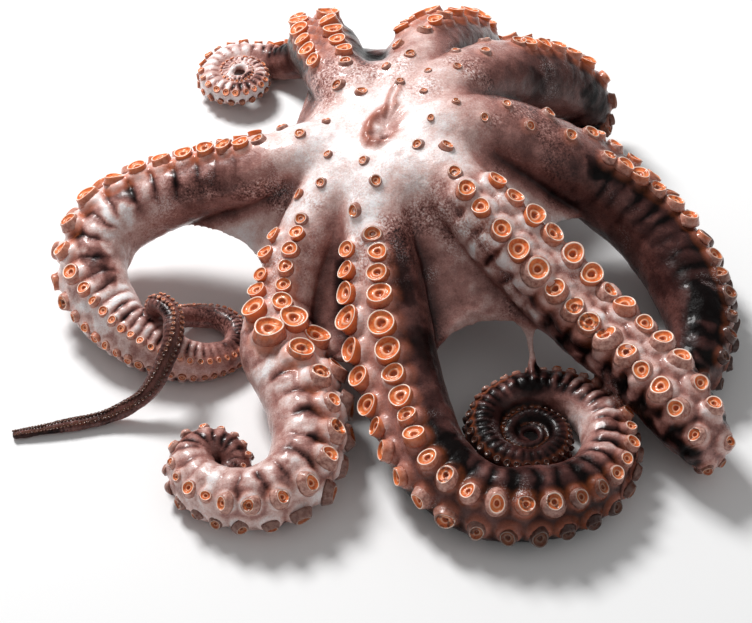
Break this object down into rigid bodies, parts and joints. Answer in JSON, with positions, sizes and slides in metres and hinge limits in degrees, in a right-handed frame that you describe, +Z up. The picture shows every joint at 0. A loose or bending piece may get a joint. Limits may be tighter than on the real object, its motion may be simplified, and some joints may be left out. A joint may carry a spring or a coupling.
{
  "type": "whole octopus",
  "caption": "Whole cooked octopus lying mouth up on its head, its arms spread round it, curled at the tips and lined with suckers.",
  "frame": {"origin": "on the surface that the octopus lies on, straight below its mouth, on the flat spot under the head", "axes": "+Z up, out of the mouth; -Y towards the camera of the picture; +X to the picture's right"},
  "size_m": [0.3608, 0.3671, 0.1055],
  "materials": {
    "cooked_skin": "wet, mottled pink-brown skin with orange suckers"
  },
  "bodies": {
    "root": {"octopus": "cooked_skin"}
  },
  "joints": []
}
